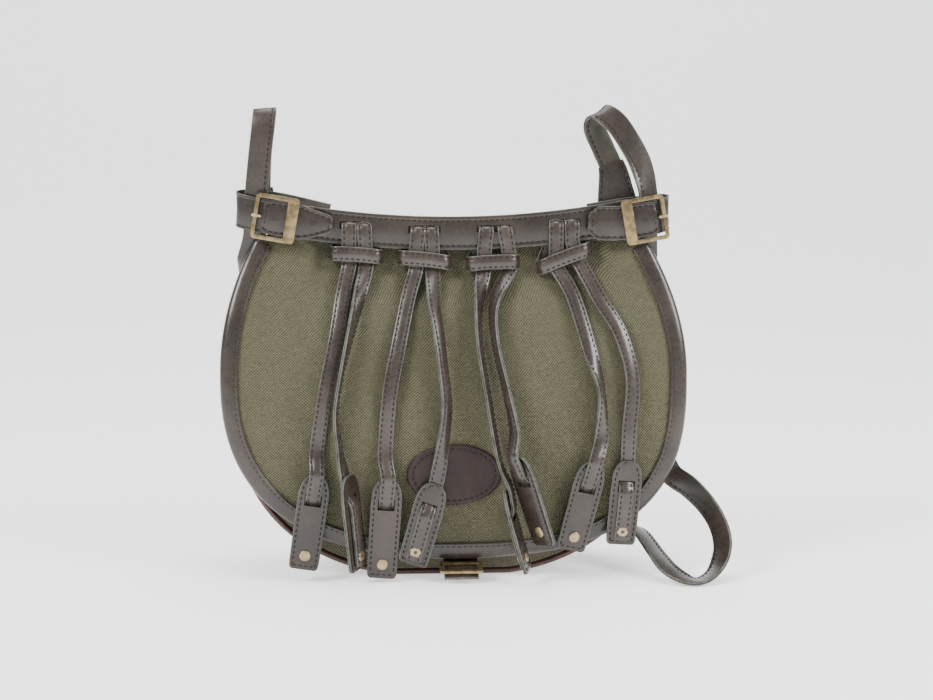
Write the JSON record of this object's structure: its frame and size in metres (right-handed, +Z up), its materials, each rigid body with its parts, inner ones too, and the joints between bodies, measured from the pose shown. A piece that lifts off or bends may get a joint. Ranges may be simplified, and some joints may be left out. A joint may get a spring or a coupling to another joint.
{
  "type": "hunting game bag",
  "caption": "Half-moon canvas shoulder bag with a leather-bound cover flap, a leather top band with hitched game hangers, buckled end loops and a long strap.",
  "frame": {"origin": "middle of the flat bottom patch that the bag stands on", "axes": "+X to the right seen from the front, -Y to the front, +Z up"},
  "size_m": [0.4005, 0.1495, 0.3696],
  "materials": {
    "olive_canvas": "matt olive canvas in a fine diagonal-looking weave",
    "body_canvas": "matt khaki canvas",
    "brown_leather": "smooth dark brown leather, satin, stitched, with pale cut edges",
    "red_brown_piping": "smooth dark red-brown leather cord",
    "aged_brass": "antique brass, rubbed, satin"
  },
  "bodies": {
    "root": {"back_panel": "body_canvas", "back_piping": "red_brown_piping", "closure_buckle": "aged_brass", "closure_strap": "brown_leather", "flap": "olive_canvas", "flap_binding": "brown_leather", "front_panel": "body_canvas", "front_piping": "red_brown_piping", "gusset": "body_canvas", "hanger_1": "brown_leather", "hanger_2": "brown_leather", "hanger_3": "brown_leather", "hanger_4": "brown_leather", "left_buckle": "aged_brass", "left_buckle_prong": "aged_brass", "left_ring_strap": "brown_leather", "left_strap_lug": "brown_leather", "oval_patch": "brown_leather", "right_buckle": "aged_brass", "right_buckle_prong": "aged_brass", "right_ring_strap": "brown_leather", "right_strap_lug": "brown_leather", "rivet_1a": "aged_brass", "rivet_1b": "aged_brass", "rivet_2a": "aged_brass", "rivet_2b": "aged_brass", "rivet_3a": "aged_brass", "rivet_3b": "aged_brass", "rivet_4a": "aged_brass", "rivet_4b": "aged_brass", "shoulder_strap": "brown_leather", "tab_1a": "brown_leather", "tab_1b": "brown_leather", "tab_2a": "brown_leather", "tab_2b": "brown_leather", "tab_3a": "brown_leather", "tab_3b": "brown_leather", "tab_4a": "brown_leather", "tab_4b": "brown_leather", "top_band": "brown_leather"}
  },
  "joints": []
}
